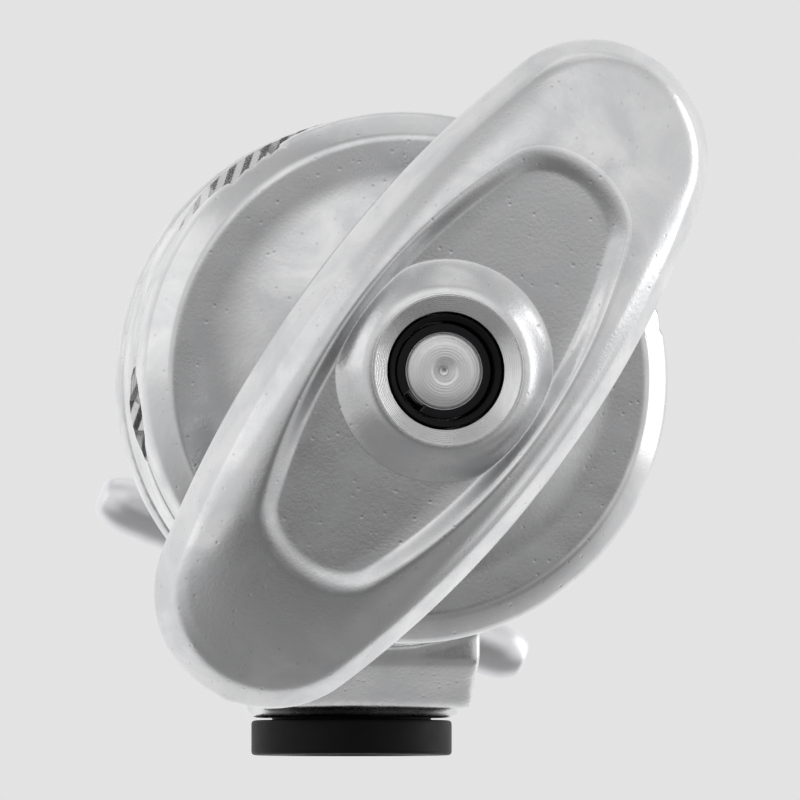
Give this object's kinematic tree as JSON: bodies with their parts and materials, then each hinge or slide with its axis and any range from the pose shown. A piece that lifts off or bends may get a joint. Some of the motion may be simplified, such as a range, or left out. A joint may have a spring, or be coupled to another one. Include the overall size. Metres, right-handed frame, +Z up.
{
  "type": "umbrella swivel bracket",
  "caption": "Swivel bracket for a light stand: a socket with a T-screw, and grooved jaw discs that a wing handle clamps on an umbrella shaft.",
  "frame": {"origin": "centre of the flat blind end of the receiver bore, on the receiver's axis, which the end of a stand's stud meets", "axes": "+Z up the receiver bore; -Y along the clamp axis towards the wing handle, so +Y points at the lock screw's T-bar; +X to the right as seen from the handle"},
  "size_m": [0.067, 0.1106, 0.0846],
  "materials": {
    "cast_aluminium": "tumbled die-cast aluminium, satin, faces and rims turned bright",
    "bright_steel": "bright nickel-chrome plated steel",
    "spring_steel": "plain bright steel, lightly oiled",
    "black_steel": "black oxide spring steel",
    "black_nylon": "black moulded nylon",
    "friction_fibre": "pressed brake-lining fibre",
    "brass": "plain brass, dull"
  },
  "bodies": {
    "body": {"body_casting": "cast_aluminium", "foot_ring": "black_nylon", "clamp_stud": "bright_steel", "stud_pin": "spring_steel", "friction_disc": "friction_fibre", "retaining_ring": "black_steel"},
    "rear_jaw": {"rear_jaw": "cast_aluminium", "jaw_spring": "spring_steel"},
    "front_jaw": {"front_jaw": "cast_aluminium"},
    "thrust_race": {"rear_race": "bright_steel"},
    "bearing_cage": {"roller_cage": "brass", "roller_01": "bright_steel", "roller_02": "bright_steel", "roller_03": "bright_steel", "roller_04": "bright_steel", "roller_05": "bright_steel", "roller_06": "bright_steel", "roller_07": "bright_steel", "roller_08": "bright_steel", "roller_09": "bright_steel", "roller_10": "bright_steel"},
    "handle": {"wing_handle": "cast_aluminium", "handle_nut": "spring_steel", "hub_sleeve": "black_nylon", "front_race": "bright_steel"},
    "pad": {"pressure_pad": "brass"},
    "tscrew": {"lock_screw": "bright_steel", "lock_tbar": "bright_steel"}
  },
  "joints": [
    {"name": "jaw_swivel", "type": "hinge", "parent": "body", "child": "rear_jaw", "pos_m": [0, 0, 0.0025], "axis": [0, -1, 0], "continuous": true},
    {"name": "jaw_open", "type": "slide", "parent": "rear_jaw", "child": "front_jaw", "axis": [0, -1, 0], "range_m": [-0.001, 0.0043], "deforming": ["jaw_spring"]},
    {"name": "handle_travel", "type": "slide", "parent": "body", "child": "thrust_race", "axis": [0, -1, 0], "range_m": [-0.001, 0.0043]},
    {"name": "cage_orbit", "type": "hinge", "parent": "thrust_race", "child": "bearing_cage", "pos_m": [0, 0, 0.0025], "axis": [0, -1, 0], "range_deg": [-113, 488]},
    {"name": "handle_turn", "type": "hinge", "parent": "thrust_race", "child": "handle", "pos_m": [0, 0, 0.0025], "axis": [0, -1, 0], "range_deg": [-225, 975]},
    {"name": "screw_travel", "type": "slide", "parent": "body", "child": "pad", "axis": [0, 1, 0], "range_m": [-0.00251, 0.00401]},
    {"name": "screw_turn", "type": "hinge", "parent": "pad", "child": "tscrew", "pos_m": [0, 0.03125, -0.02], "axis": [0, 1, 0], "range_deg": [-720, 1152]}
  ],
  "couplings": [
    {"joint": "jaw_open", "follows": "handle_turn", "m_per_rad": 0.00025266},
    {"joint": "handle_travel", "follows": "handle_turn", "m_per_rad": 0.00025266},
    {"joint": "cage_orbit", "follows": "handle_turn", "ratio": 0.5},
    {"joint": "screw_travel", "follows": "screw_turn", "m_per_rad": 0.00019894}
  ]
}
